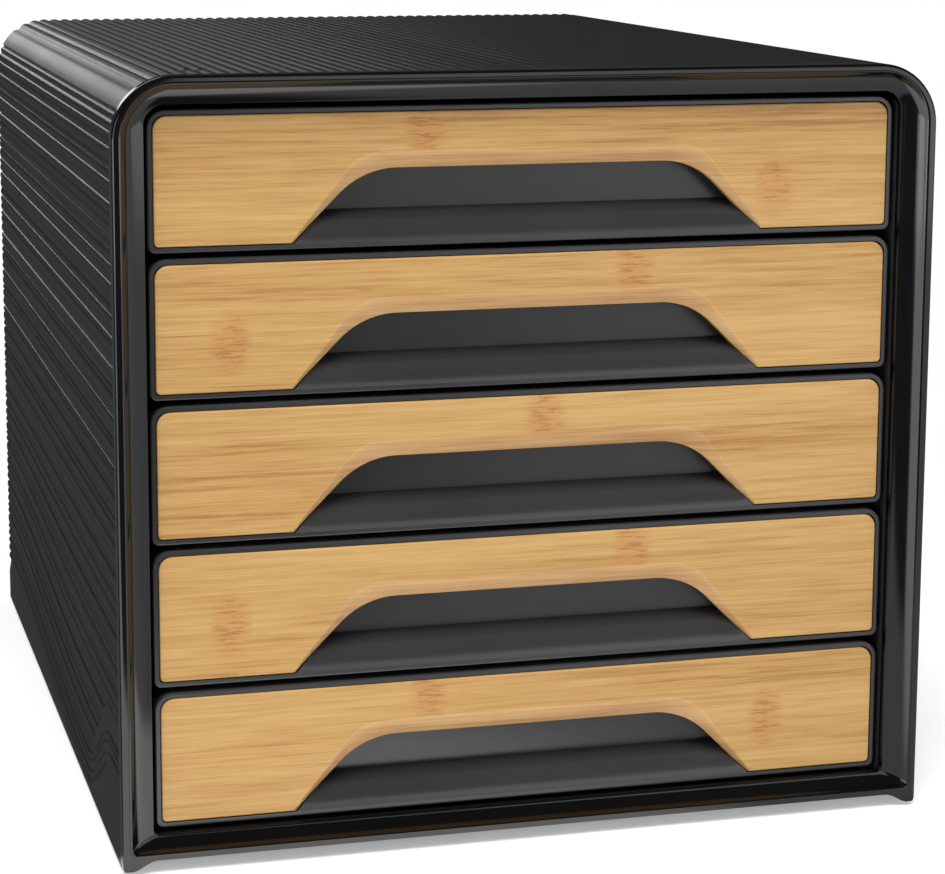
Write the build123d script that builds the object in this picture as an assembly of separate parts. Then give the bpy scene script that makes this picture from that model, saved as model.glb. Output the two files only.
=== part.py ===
from build123d import *
import os
from math import cos, pi, radians, sin, tan

# A five-drawer desktop file unit: a ribbed plastic sleeve with a polished front
# frame, and five trays with bamboo fronts that slide out towards the viewer.
# Millimetres. X runs across the front, -Y is the front, Z is up.
# The origin is under the middle of the casing, level with the soles of its feet.

os.makedirs("parts", exist_ok=True)

# Casing
WIDTH = 286.0  # outside width
DEPTH = 360.0  # front of the frame to back of the sleeve
CASE_HEIGHT = 265.0  # lower edge of the sleeve to its top
FOOT_PROUD = 1.5  # how far the rubber feet stand below the lower edge
CORNER_RADIUS = 21.0  # outside radius of the two long top edges
SKIN = 2.6  # wall of the sleeve, ribs included
RIB_PITCH = 4.7  # from one groove of the sleeve to the next
RIB_DEPTH = 0.9  # depth of a groove
GROOVE_TOP = 0.60  # share of the pitch that a groove takes at its mouth
GROOVE_BOTTOM = 0.28  # and at its flat bottom
RIB_PLAIN = 8.0  # plain band above the lower edge of each side

# Front frame
FRAME_BAND = 6.0  # depth of the plain outer band in front of the ribs
FRAME_PLATE = 8.0  # thickness of the frame's ring
SIDE_RAIL = 11.1  # width of the ring at the sides
TOP_RAIL = 9.65  # height of the ring above the opening
BOTTOM_RAIL = 10.5  # height of the ring below the opening
RIM_FLAT = 2.9  # flat outer rim before the hollow face begins
COVE_DEPTH = 4.7  # how far the inner lip lies behind the rim
COVE_STEEP = 50.0  # slope of the hollow face at the rim, degrees
COVE_SHALLOW = 8.0  # slope of the hollow face at the lip, degrees
COVE_STEPS = 6
QUARTER = 90.0  # a quarter turn, degrees
RIM_FILLET = 1.1
LIP_RADIUS_TOP = 7.0
LIP_RADIUS_LOW = 2.0
ARCH_RISE = 3.3  # how far the lower rail rises between the two legs
LEG_WIDTH = 3.5  # flat sole of each leg of the frame
LEG_SLOPE = 8.0  # run of the slope from a leg up to the arch
LEG_LEAN = 0.35  # steepness of that slope where it leaves the sole
SPIGOT_DEPTH = 11.0  # skirt of the frame that slips inside the sleeve
SPIGOT_WALL = 2.0

# Panels inside the sleeve
PANEL = 2.0  # wall of the runner panels
BASE_LIFT = 4.0  # underside of the base above the lower edge of the sleeve
BASE_PLATE = 2.5
HEM_WIDTH = 1.5  # bead inside the sleeve that the base rests on
HEM_THICK = 2.0
BACK_PLATE = 2.5
BACK_INSET = 1.0  # back panel behind the rear edge of the sleeve
BACK_FIELD_MARGIN = 26.0  # raised field of the back panel
BACK_FIELD_PROUD = 0.8
BACK_FIELD_RADIUS = 12.0
FIT = 0.2  # play between pieces that don't move
RUN = 0.3  # play between a drawer and what carries it

# Drawers
DRAWERS = 5
DRAWER_GAP = 2.0  # between one drawer front and the next, and above the top one
BOTTOM_GAP = 0.7  # between the lowest front and the frame
SIDE_GAP = 1.5  # between a front and the frame, each side
FRONT_SETBACK = 9.0  # face of the drawer fronts behind the face of the frame
FRONT_BLOCK = 16.0  # thickness of a moulded drawer front
FRONT_RADIUS_TOP = 6.0
FRONT_RADIUS_LOW = 2.5
FRONT_EASE = 0.6  # eased front edges of the moulding
RIM = 1.7  # plastic rim seen round the bamboo
TRAVEL = 240.0  # how far a drawer pulls out
TRAY_SIDE = 0.5  # side walls of a tray inside the ends of its front
TRAY_WALL = 2.2
TRAY_FLOOR = 2.0
TRAY_LIFT = 2.5  # underside of a tray above the lower edge of its front
TRAY_DROP = 4.8  # top of the tray walls below the top of their front
TRAY_REAR_GAP = 4.0  # tray to back panel when shut
TRAY_CORNER = 6.0  # inside corners of a tray
STOP_LENGTH = 12.0  # catch at the rear end of each tray wall
STOP_HEIGHT = 3.0

# Runners
LEDGE = 2.0  # thickness of a runner
LEDGE_REACH = 9.0  # how far a runner reaches under its tray
GUIDE_HEIGHT = 4.0  # low wall that keeps a tray central
NUB_LENGTH = 4.0  # stop under a runner that meets the catch of the tray below
NUB_CLEAR = 1.2  # tray wall to nub
BLOCK_CLEAR = 0.5  # shut drawer front to the front ends of its runners
STIFFENER = 1.8

# Bamboo fronts
BAMBOO = 6.0  # thickness
BAMBOO_PROUD = 0.3  # face of the bamboo in front of the plastic rim
BAMBOO_GAP = 0.35  # shadow line round the bamboo
BAMBOO_RADIUS_TOP = 4.6
BAMBOO_RADIUS_LOW = 1.5
BAMBOO_EASE = 0.5
TAPE = 0.5  # thickness of the adhesive pads behind the bamboo
TAPE_WIDTH = 30.0
TAPE_EDGE = 5.0  # bamboo left clear round a pad

# Finger cut-out in the lower edge of each bamboo front
GRIP_HALF = 82.0  # half its width at the bottom
GRIP_HEIGHT = 24.0
GRIP_SLOPE = 45.0  # of its ends, degrees
GRIP_BEND = 28.0  # radius from a sloping end into the level top
GRIP_TOE = 2.0  # rounded lower tips of the bamboo
SCOOP_WIDTH = 5.7  # bevel above the cut-out
SCOOP_END = 1.7  # bevel beside the lower tips
SCOOP_SLOPE = 51.0  # of the ends of the bevel's outer edge, degrees
SCOOP_BEND = 16.0
SCOOP_DEPTH = 2.4

# Finger recess in the moulded front, behind the cut-out
RECESS_HALF = 92.0
RECESS_DEPTH = 12.5  # wall of the recess behind the face of the bamboo
RECESS_TOP = 8.0  # solid moulding left above the recess
ROLL_HEIGHT = 9.6  # rounded floor of the recess, above the lower edge of the bamboo

# Shallow slots in the roof, near its two front corners
SLOT_INSET = 31.5  # centre of a slot in from the side
SLOT_SETBACK = 30.0  # and behind the front of the frame
SLOT_LENGTH = 9.0
SLOT_WIDTH = 3.0
SLOT_DEPTH = 1.2

# Feet and screws
FOOT_INSET = 35.0  # centre of a foot in from the side
FOOT_SETBACK = 52.0  # and in from the front or back
FOOT_RADIUS = 6.5
FOOT_STEM = 2.0
SCREW_SHANK = 1.4
SCREW_HEAD = 2.9
SCREW_HEAD_THICK = 1.8
SCREW_LENGTH = 10.0
SCREW_PLAY = 0.1
BOSS_WALL = 1.6
SCREW_ROWS = 3

# Worked out from the sizes above
FRONT_Y = -DEPTH / 2
BACK_Y = DEPTH / 2
LOW_Z = FOOT_PROUD
TOP_Z = LOW_Z + CASE_HEIGHT
SLEEVE_Y = FRONT_Y + FRAME_BAND
PLATE_Y = FRONT_Y + FRAME_PLATE
OPEN_HALF = WIDTH / 2 - SIDE_RAIL
OPEN_LOW = LOW_Z + BOTTOM_RAIL
OPEN_TOP = TOP_Z - TOP_RAIL
INNER_HALF = WIDTH / 2 - SKIN
INNER_TOP = TOP_Z - SKIN
BACK_PANEL_Y = BACK_Y - BACK_INSET - BACK_FIELD_PROUD - BACK_PLATE
BASE_Z = LOW_Z + BASE_LIFT
BASE_TOP = BASE_Z + BASE_PLATE
FACE_Y = FRONT_Y + FRONT_SETBACK
BLOCK_BACK_Y = FACE_Y + FRONT_BLOCK
FRONT_HALF = OPEN_HALF - SIDE_GAP
FRONT_HEIGHT = (OPEN_TOP - OPEN_LOW - BOTTOM_GAP - DRAWERS * DRAWER_GAP) / DRAWERS
PITCH = FRONT_HEIGHT + DRAWER_GAP
TRAY_HEIGHT = FRONT_HEIGHT - TRAY_LIFT - TRAY_DROP
TRAY_HALF = FRONT_HALF - TRAY_SIDE
TRAY_REAR_Y = BACK_PANEL_Y - TRAY_REAR_GAP
BAMBOO_INSET = RIM + BAMBOO_GAP
BAMBOO_HALF = FRONT_HALF - BAMBOO_INSET
BAMBOO_HEIGHT = FRONT_HEIGHT - 2 * BAMBOO_INSET
BAMBOO_Y = FACE_Y - BAMBOO_PROUD
BAMBOO_BACK_Y = BAMBOO_Y + BAMBOO
POCKET_Y = BAMBOO_BACK_Y + TAPE
RECESS_Y = BAMBOO_Y + RECESS_DEPTH
LEDGE_Y = BLOCK_BACK_Y + BLOCK_CLEAR
LEDGE_DROP = TRAY_LIFT - RUN  # top of a runner above the lower edge of its drawer front
PANEL_OUT = OPEN_HALF + PANEL
FLANGE_OUT = INNER_HALF - FIT
FOOT_X = WIDTH / 2 - FOOT_INSET
FOOT_Y = DEPTH / 2 - FOOT_SETBACK
SLOT_X = WIDTH / 2 - SLOT_INSET


def upright(y):
    """The upright plane at depth y, drawn with X to the right and Z up."""
    return Plane(origin=(0, y, 0), x_dir=(1, 0, 0), z_dir=(0, -1, 0))


def prism(sketch, y_front, y_back):
    """A sketch of the front view, made solid from y_front to y_back."""
    return extrude(upright(y_back) * sketch, y_back - y_front)


def block(x0, x1, y0, y1, z0, z1):
    """A plain block between two corners."""
    middle = Pos((x0 + x1) / 2, (y0 + y1) / 2, (z0 + z1) / 2)
    return middle * Box(abs(x1 - x0), abs(y1 - y0), abs(z1 - z0))


def plate(half, low, top, radius_top, radius_low=0.0):
    """A rectangle in the front view with its own top and bottom corner radii."""
    corners = [(-half, low), (half, low), (half, top), (-half, top)]
    face = make_face(Polyline(*corners, close=True))
    face = fillet(face.vertices().group_by(Axis.Y)[-1], radius_top)
    if radius_low > 0:
        face = fillet(face.vertices().group_by(Axis.Y)[0], radius_low)
    return face


def on_both_sides(piece):
    """A piece together with its mirror image across the middle plane."""
    return piece + mirror(piece, Plane.YZ)


# ---- Sleeve ----

SIDE_RUN = CASE_HEIGHT - CORNER_RADIUS
BEND_RUN = CORNER_RADIUS * pi / 2
ROOF_RUN = WIDTH - 2 * CORNER_RADIUS
HALF_RUN = SIDE_RUN + BEND_RUN + ROOF_RUN / 2


def skin_point(run, inset):
    """A point of the right half of the section, run millimetres up from its lower edge."""
    centre_x = WIDTH / 2 - CORNER_RADIUS
    centre_z = TOP_Z - CORNER_RADIUS
    if run <= SIDE_RUN:
        return (WIDTH / 2 - inset, LOW_Z + run)
    if run >= SIDE_RUN + BEND_RUN:
        return (centre_x - (run - SIDE_RUN - BEND_RUN), TOP_Z - inset)
    turn = (run - SIDE_RUN) / CORNER_RADIUS
    reach = CORNER_RADIUS - inset
    return (centre_x + reach * cos(turn), centre_z + reach * sin(turn))


def groove_points():
    """The ribbed outline of the right half, from the lower edge to the middle of the roof."""
    points = [skin_point(0, 0)]
    count = int((HALF_RUN - RIB_PLAIN) / RIB_PITCH)
    for i in range(count):
        middle = HALF_RUN - RIB_PITCH * (count - i - 0.5)
        mouth = GROOVE_TOP * RIB_PITCH / 2
        bottom = GROOVE_BOTTOM * RIB_PITCH / 2
        points.append(skin_point(middle - mouth, 0))
        points.append(skin_point(middle - bottom, RIB_DEPTH))
        points.append(skin_point(middle + bottom, RIB_DEPTH))
        points.append(skin_point(middle + mouth, 0))
    return points


def sleeve_section():
    right = groove_points()
    left = [(-x, z) for x, z in reversed(right)]
    outer = make_face(Polyline(*right, *left, close=True))
    inner = plate(INNER_HALF, LOW_Z, INNER_TOP, CORNER_RADIUS - SKIN)
    return outer - inner


def roof_slot():
    """The right-hand one of the two shallow slots in the roof, as a solid to cut away."""
    place = Pos(SLOT_X, FRONT_Y + SLOT_SETBACK, TOP_Z)
    return place * extrude(SlotOverall(SLOT_LENGTH, SLOT_WIDTH), -SLOT_DEPTH)


def outer_shell():
    sleeve = prism(sleeve_section(), SLEEVE_Y, BACK_Y)
    hem_inner = INNER_HALF - HEM_WIDTH
    hem = block(hem_inner, INNER_HALF, PLATE_Y, BACK_PANEL_Y, BASE_Z - HEM_THICK, BASE_Z)
    sleeve += on_both_sides(hem)
    return sleeve - roof_slot() - mirror(roof_slot(), Plane.YZ)


# ---- Front frame ----


def cove_section(share):
    """Share of the ring's width and of the cove's depth reached at a share of the arc."""
    steep = radians(COVE_STEEP)
    shallow = radians(COVE_SHALLOW)
    turn = steep + (shallow - steep) * share
    across = (sin(steep) - sin(turn)) / (sin(steep) - sin(shallow))
    inward = (cos(turn) - cos(steep)) / (cos(shallow) - cos(steep))
    return across, inward


def cove():
    """The hollow face of the ring, from the flat rim in to the lip, as a solid to cut away."""
    sections = []
    for step in range(COVE_STEPS + 1):
        across, inward = cove_section(step / COVE_STEPS)
        half = WIDTH / 2 - RIM_FLAT - across * (SIDE_RAIL - RIM_FLAT)
        top = TOP_Z - RIM_FLAT - across * (TOP_RAIL - RIM_FLAT)
        low = LOW_Z + ARCH_RISE + across * (BOTTOM_RAIL - ARCH_RISE)
        rim_radius = CORNER_RADIUS - RIM_FLAT
        radius_top = rim_radius + across * (LIP_RADIUS_TOP - rim_radius)
        section = plate(half, low, top, radius_top, LIP_RADIUS_LOW)
        sections.append(upright(FRONT_Y + inward * COVE_DEPTH) * section)
    return loft(sections, ruled=True)


def arch():
    """The space under the lower rail, between the frame's two legs, in the front view."""
    foot = WIDTH / 2 - LEG_WIDTH
    knee = foot - LEG_SLOPE
    rise = LOW_Z + ARCH_RISE
    right = Spline((foot, LOW_Z), (knee, rise), tangents=[(-1, LEG_LEAN), (-1, 0)])
    left = Spline((-knee, rise), (-foot, LOW_Z), tangents=[(-1, 0), (-1, -LEG_LEAN)])
    level = Line((knee, rise), (-knee, rise))
    sole = Line((-foot, LOW_Z), (foot, LOW_Z))
    return make_face([right, level, left, sole])


def front_frame():
    outline = plate(WIDTH / 2, LOW_Z, TOP_Z, CORNER_RADIUS) - arch()
    ring = prism(outline, FRONT_Y, SLEEVE_Y)
    rim_edges = ring.faces().sort_by(Axis.Y)[0].outer_wire().edges()
    ring = fillet(rim_edges, RIM_FILLET)
    spigot_half = INNER_HALF - FIT
    spigot_top = INNER_TOP - FIT
    spigot_radius = CORNER_RADIUS - SKIN - FIT
    land = plate(spigot_half, LOW_Z + ARCH_RISE, spigot_top, spigot_radius)
    ring += prism(land, SLEEVE_Y, PLATE_Y)
    skirt = plate(spigot_half, BASE_TOP + FIT, spigot_top, spigot_radius)
    skirt_hole = plate(
        spigot_half - SPIGOT_WALL, 0, spigot_top - SPIGOT_WALL, spigot_radius - SPIGOT_WALL
    )
    ring += prism(skirt - skirt_hole, PLATE_Y, SLEEVE_Y + SPIGOT_DEPTH)
    opening = plate(OPEN_HALF, OPEN_LOW, OPEN_TOP, LIP_RADIUS_TOP, LIP_RADIUS_LOW)
    ring -= prism(opening, FRONT_Y + COVE_DEPTH / 2, PLATE_Y + SPIGOT_DEPTH)
    return ring - cove()


# ---- Panels inside the sleeve ----


def foot_places():
    """Centre of each foot, by the name of its corner."""
    rows = (("front", -FOOT_Y), ("rear", FOOT_Y))
    sides = (("left", -FOOT_X), ("right", FOOT_X))
    return {f"{row}_{side}": (x, y) for row, y in rows for side, x in sides}


def screw_places():
    """Centres of the base screws, in the cavity behind each runner panel."""
    x = INNER_HALF - HEM_WIDTH - FIT - SCREW_HEAD
    first = LEDGE_Y + SPIGOT_DEPTH
    span = BACK_PANEL_Y - SPIGOT_DEPTH - first
    return [(side * x, first + span * i / (SCREW_ROWS - 1)) for side in (-1, 1) for i in range(SCREW_ROWS)]


def back_panel():
    half = INNER_HALF - FIT
    face = plate(half, BASE_Z, INNER_TOP - FIT, CORNER_RADIUS - SKIN - FIT)
    panel = prism(face, BACK_PANEL_Y, BACK_PANEL_Y + BACK_PLATE)
    field = plate(
        half - BACK_FIELD_MARGIN,
        BASE_Z + BACK_FIELD_MARGIN,
        INNER_TOP - BACK_FIELD_MARGIN,
        BACK_FIELD_RADIUS,
        BACK_FIELD_RADIUS,
    )
    outside = BACK_PANEL_Y + BACK_PLATE
    panel += prism(field, outside, outside + BACK_FIELD_PROUD)
    return panel


def base_panel():
    half = INNER_HALF - FIT
    panel = block(-half, half, PLATE_Y, BACK_PANEL_Y, BASE_Z, BASE_TOP)
    for x, y in screw_places():
        hole = Cylinder(SCREW_SHANK + SCREW_PLAY, BASE_PLATE)
        panel -= Pos(x, y, (BASE_Z + BASE_TOP) / 2) * hole
    for x, y in foot_places().values():
        panel -= Pos(x, y, (BASE_Z + BASE_TOP) / 2) * Cylinder(FOOT_STEM, BASE_PLATE)
    return panel


def runner(low):
    """One runner on the right, under the drawer whose front has its lower edge at low."""
    top = low + LEDGE_DROP
    inner = TRAY_HALF - LEDGE_REACH
    rear = BACK_PANEL_Y - FIT
    shelf = block(inner, OPEN_HALF, LEDGE_Y, rear, top - LEDGE, top)
    guide = block(TRAY_HALF + RUN, OPEN_HALF, LEDGE_Y, rear, top, top + GUIDE_HEIGHT)
    return shelf + guide


def nub(low):
    """Stop above the tray wall of the drawer whose front has its lower edge at low."""
    shelf_low = low + PITCH + LEDGE_DROP - LEDGE
    tray_top = low + TRAY_LIFT + TRAY_HEIGHT
    catch_front = TRAY_REAR_Y - STOP_LENGTH
    rear = catch_front - TRAVEL - BLOCK_CLEAR
    inner = TRAY_HALF - TRAY_WALL
    return block(inner, OPEN_HALF, rear - NUB_LENGTH, rear, tray_top + NUB_CLEAR, shelf_low)


def runner_panel():
    """The right-hand inner side: a thin wall with five runners, backed by flanges."""
    rear = BACK_PANEL_Y - FIT
    flange_front = SLEEVE_Y + SPIGOT_DEPTH + FIT
    top = INNER_TOP - CORNER_RADIUS / 2
    panel = block(OPEN_HALF, PANEL_OUT, PLATE_Y, rear, BASE_TOP, top)
    panel += block(PANEL_OUT, FLANGE_OUT, flange_front, rear, BASE_TOP, BASE_TOP + PANEL)
    for front in (flange_front, rear - STIFFENER):
        height = TOP_Z - CORNER_RADIUS - SKIN
        panel += block(PANEL_OUT, FLANGE_OUT, front, front + STIFFENER, BASE_TOP, height)
    for drawer in range(DRAWERS):
        low = OPEN_LOW + BOTTOM_GAP + drawer * PITCH
        panel += runner(low)
        panel += nub(low)
        level = low + LEDGE_DROP
        panel += block(PANEL_OUT, FLANGE_OUT, flange_front, rear, level - STIFFENER, level)
    shelf_top = OPEN_LOW + BOTTOM_GAP + DRAWERS * PITCH + LEDGE_DROP
    inner = TRAY_HALF - LEDGE_REACH
    panel += block(inner, PANEL_OUT, LEDGE_Y, rear, shelf_top - LEDGE, shelf_top)
    panel += block(OPEN_HALF, PANEL_OUT, LEDGE_Y, rear, top, shelf_top)
    for x, y in screw_places():
        if x > 0:
            boss_top = BASE_TOP + SCREW_LENGTH
            boss = Cylinder(SCREW_SHANK + BOSS_WALL, boss_top - BASE_TOP)
            panel += Pos(x, y, (BASE_TOP + boss_top) / 2) * boss
            hole = Cylinder(SCREW_SHANK + SCREW_PLAY, boss_top - BASE_TOP)
            panel -= Pos(x, y, (BASE_TOP + boss_top) / 2) * hole
    return panel


def rubber_foot(x, y):
    pad = Pos(x, y, BASE_Z / 2) * Cylinder(FOOT_RADIUS, BASE_Z)
    pad = fillet(pad.edges().group_by(Axis.Z)[0], FOOT_PROUD / 2)
    stem = Pos(x, y, (BASE_Z + BASE_TOP) / 2) * Cylinder(FOOT_STEM, BASE_PLATE)
    return pad + stem


def base_screws():
    screws = []
    for x, y in screw_places():
        head_z = BASE_Z - SCREW_HEAD_THICK / 2
        head = Pos(x, y, head_z) * Cylinder(SCREW_HEAD, SCREW_HEAD_THICK)
        length = BASE_PLATE + SCREW_LENGTH - BOSS_WALL
        shank = Pos(x, y, BASE_Z + length / 2) * Cylinder(SCREW_SHANK, length)
        screws.append(head + shank)
    return Compound(children=screws)


# ---- Drawers ----


def roll(low):
    """The rounded floor of the finger recess, as the part of the recess block to keep."""
    bamboo_low = low + BAMBOO_INSET
    start_z = low + RIM / 2
    height = bamboo_low + ROLL_HEIGHT - start_z
    deep = RECESS_Y - FACE_Y
    curve = EllipticalCenterArc((deep, 0), deep, height, start_angle=QUARTER, arc_size=QUARTER)
    side = make_face([curve, Line((0, 0), (deep, 0)), Line((deep, 0), (deep, height))])
    plane = Plane(origin=(-RECESS_HALF, FACE_Y, start_z), x_dir=(0, 1, 0), z_dir=(1, 0, 0))
    return extrude(plane * side, 2 * RECESS_HALF)


def drawer_front(low):
    """The front block of a moulded drawer, with its recess and the pocket for the bamboo."""
    top = low + FRONT_HEIGHT
    front = prism(plate(FRONT_HALF, low, top, FRONT_RADIUS_TOP, FRONT_RADIUS_LOW), FACE_Y, BLOCK_BACK_Y)
    front = fillet(front.faces().sort_by(Axis.Y)[0].outer_wire().edges(), FRONT_EASE)
    pocket = plate(
        FRONT_HALF - RIM, low + RIM, top - RIM, FRONT_RADIUS_TOP - RIM, FRONT_RADIUS_LOW - RIM / 2
    )
    front -= prism(pocket, FACE_Y - BAMBOO_PROUD, POCKET_Y)
    recess = block(-RECESS_HALF, RECESS_HALF, BAMBOO_Y, RECESS_Y, low + RIM, top - RECESS_TOP)
    front -= recess
    window = Pos(0, low + BAMBOO_INSET) * grip_outline(
        GRIP_HEIGHT, GRIP_HALF - BAMBOO_GAP, GRIP_SLOPE, GRIP_BEND
    )
    return front + roll(low) - prism(pocket - window, FACE_Y - BAMBOO_PROUD, POCKET_Y)


def drawer_tray(low):
    """The open tray of a moulded drawer, up to the flat back of its front block."""
    under = low + TRAY_LIFT
    tray = block(-TRAY_HALF, TRAY_HALF, BLOCK_BACK_Y, TRAY_REAR_Y, under, under + TRAY_HEIGHT)
    room = block(
        -TRAY_HALF + TRAY_WALL,
        TRAY_HALF - TRAY_WALL,
        BLOCK_BACK_Y,
        TRAY_REAR_Y - TRAY_WALL,
        under + TRAY_FLOOR,
        under + TRAY_HEIGHT,
    )
    room = fillet(room.edges().filter_by(Axis.Z), TRAY_CORNER)
    catch = block(
        TRAY_HALF - TRAY_WALL,
        TRAY_HALF,
        TRAY_REAR_Y - STOP_LENGTH,
        TRAY_REAR_Y,
        under + TRAY_HEIGHT,
        under + TRAY_HEIGHT + STOP_HEIGHT,
    )
    return tray - room + on_both_sides(catch)


# ---- Bamboo fronts ----


def grip_outline(height, half, slope, bend):
    """The finger cut-out in the front view: sloping ends, rounded into a level top."""
    spread = 1 / tan(radians(slope))
    shoulder = half - height * spread
    toe = half + GRIP_TOE * spread
    corners = [(-toe, -GRIP_TOE), (-shoulder, height), (shoulder, height), (toe, -GRIP_TOE)]
    face = make_face(Polyline(*corners, close=True))
    return fillet(face.vertices().group_by(Axis.Y)[-1], bend)


def bamboo_front(low):
    bottom = low + BAMBOO_INSET
    outline = plate(BAMBOO_HALF, bottom, bottom + BAMBOO_HEIGHT, BAMBOO_RADIUS_TOP, BAMBOO_RADIUS_LOW)
    grip = Pos(0, bottom) * grip_outline(GRIP_HEIGHT, GRIP_HALF, GRIP_SLOPE, GRIP_BEND)
    face = outline - grip
    tips = [v for v in face.vertices() if abs(v.Y - bottom) < FIT and abs(v.X) < GRIP_HALF + FIT]
    face = fillet(tips, GRIP_TOE)
    panel = prism(face, BAMBOO_Y, BAMBOO_BACK_Y)
    panel = fillet(panel.faces().sort_by(Axis.Y)[0].outer_wire().edges(), BAMBOO_EASE)
    wide = Pos(0, bottom) * grip_outline(
        GRIP_HEIGHT + SCOOP_WIDTH, GRIP_HALF + SCOOP_END, SCOOP_SLOPE, SCOOP_BEND
    )
    scoop = loft([upright(BAMBOO_Y) * wide, upright(BAMBOO_Y + SCOOP_DEPTH) * grip], ruled=True)
    return panel - scoop


def tape_pads(low):
    """The two adhesive pads that hold one bamboo front, left and right of the recess."""
    outer = BAMBOO_HALF - TAPE_EDGE
    bottom = low + BAMBOO_INSET + TAPE_EDGE
    height = BAMBOO_HEIGHT - 2 * TAPE_EDGE
    pads = []
    for side in (-1, 1):
        edge = side * outer
        inner = side * (outer - TAPE_WIDTH)
        pads.append(block(edge, inner, BAMBOO_BACK_Y, POCKET_Y, bottom, bottom + height))
    return Compound(children=pads)


# ---- Write the pieces ----


def write(piece, name):
    export_step(piece, f"parts/{name}.step")


def main():
    write(outer_shell(), "outer_shell")
    write(front_frame(), "front_frame")
    write(back_panel(), "back_panel")
    write(base_panel(), "base_panel")
    right = runner_panel()
    write(right, "right_runner_panel")
    write(mirror(right, Plane.YZ), "left_runner_panel")
    write(base_screws(), "base_screws")
    for corner, (x, y) in foot_places().items():
        write(rubber_foot(x, y), f"foot_{corner}")
    for number in range(1, DRAWERS + 1):
        low = OPEN_LOW + BOTTOM_GAP + (DRAWERS - number) * PITCH
        write(drawer_front(low), f"drawer_front_{number}")
        write(drawer_tray(low), f"drawer_tray_{number}")
        write(bamboo_front(low), f"bamboo_front_{number}")
        write(tape_pads(low), f"tape_pads_{number}")


main()
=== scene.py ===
from math import cos, pi, radians, sin, sqrt

import bpy
from mathutils import Matrix, Vector


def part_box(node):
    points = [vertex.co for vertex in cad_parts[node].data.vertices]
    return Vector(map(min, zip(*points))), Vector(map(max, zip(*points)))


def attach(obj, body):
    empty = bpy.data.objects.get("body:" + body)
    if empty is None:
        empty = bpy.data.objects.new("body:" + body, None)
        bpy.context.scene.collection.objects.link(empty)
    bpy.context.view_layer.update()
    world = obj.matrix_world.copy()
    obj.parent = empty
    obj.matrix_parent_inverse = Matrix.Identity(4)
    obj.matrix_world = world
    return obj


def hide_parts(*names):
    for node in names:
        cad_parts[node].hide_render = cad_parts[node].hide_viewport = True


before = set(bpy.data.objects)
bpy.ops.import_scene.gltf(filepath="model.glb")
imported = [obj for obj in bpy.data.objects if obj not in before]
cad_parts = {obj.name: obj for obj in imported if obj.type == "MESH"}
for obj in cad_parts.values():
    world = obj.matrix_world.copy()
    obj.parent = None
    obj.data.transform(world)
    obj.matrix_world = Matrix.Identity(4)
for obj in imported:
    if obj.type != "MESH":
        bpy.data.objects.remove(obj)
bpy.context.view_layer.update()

# A five-drawer desktop file unit: ribbed black sleeve, polished black front frame, dark moulded
# trays and bamboo fronts. Metres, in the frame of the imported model.

MM = 0.001
DRAWERS = (1, 2, 3, 4, 5)

# Casing
shell_low, shell_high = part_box("outer_shell")
frame_low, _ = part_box("front_frame")
HALF_WIDTH = shell_high.x
LOW_Z = shell_low.z
TOP_Z = shell_high.z
FRONT_Y = frame_low.y
SLEEVE_Y = shell_low.y
BACK_Y = shell_high.y
CORNER = 21 * MM  # radius of the two long top edges
SKIN = 1.6 * MM  # wall of the sleeve under its ribs

# Ribs of the sleeve
RIB_DEPTH = 0.9 * MM
ROOF_PITCH = 4.7 * MM
SIDE_PITCHES = [v * MM for v in (3.4, 4.3, 2.9, 3.9, 2.4, 4.5, 3.3, 2.1, 3.8, 3.1)]
SIDE_PLAIN = 18 * MM  # plain band above the lower edge, at the rear
LAND_START = radians(25)  # smooth land on each rounded top edge
LAND_END = radians(50)
LAND_GAP = 0.8 * MM  # between the land and the grooves on either side of it
LAND_MARGIN = 2 * MM  # room left under the land by the last side rib
LAND_STEPS = 5
RIB_MEAN = 0.65  # depth of the side ribs as a share of RIB_DEPTH, and how it varies
RIB_SWING = 0.35
RIB_BEAT = 2.4
RIB_LEAST = 0.45

# Wave in the lower ribs of each side, near the front
DIVE = 14 * MM  # how far the lowest ribs sink on their way to the front
DIVE_START_Y = 150 * MM
DIVE_LOW = 33 * MM  # ribs up to this height sink by the whole of it
DIVE_HIGH = 110 * MM  # ribs above this height run level
TROUGH_Y = -92 * MM
CREST_Y = -152 * MM
WAVE_BASE = 17.5 * MM  # height of the wave's upper edge at its trough
WAVE_TOP = 50.8 * MM  # height of that edge at its crest
WAVE_LIFT = 24 * MM  # rise of the ribs that follow the wave
WAVE_RIBS = 4  # ribs that follow it
WAVE_FADE = 3 * MM  # height over which the ribs just under its edge fade
WAVE_FOOT = 4 * MM  # height over which its lift begins, above the sleeve's lower edge

# Slots in the roof
SLOT_X = HALF_WIDTH - 31.5 * MM
SLOT_Y = FRONT_Y + 30 * MM
SLOT_HALF = 4.5 * MM  # half its length, along X
SLOT_HALF_DEEP = 2.5 * MM  # and along Y
SLOT_DEPTH = 1.2 * MM
ROOF_ZONE = 2 * MM  # the slots sink only points this near the top

# Camera of the photograph
IMAGE_WIDTH = 945
IMAGE_HEIGHT = 874
FOCAL_PIXELS = 2661.82
CENTRE_PIXEL = (425, 320)
SENSOR = 36
CAMERA_PLACE = (-0.26073, -1.02269, 0.32756)
CAMERA_YAW = -0.2566
CAMERA_PITCH = -0.1631
CAMERA_ROLL = 0.0021


# ---- Modelling helpers ----

SEAM_GAP = 0.01 * MM  # vertices nearer than this become one


def deselect():
    bpy.ops.object.select_all(action="DESELECT")


def select_only(piece):
    deselect()
    piece.select_set(True)
    bpy.context.view_layer.objects.active = piece


def active_edit(piece):
    """Opens a piece for editing, with its whole mesh selected."""
    select_only(piece)
    bpy.ops.object.mode_set(mode="EDIT")
    bpy.ops.mesh.select_all(action="SELECT")


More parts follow.
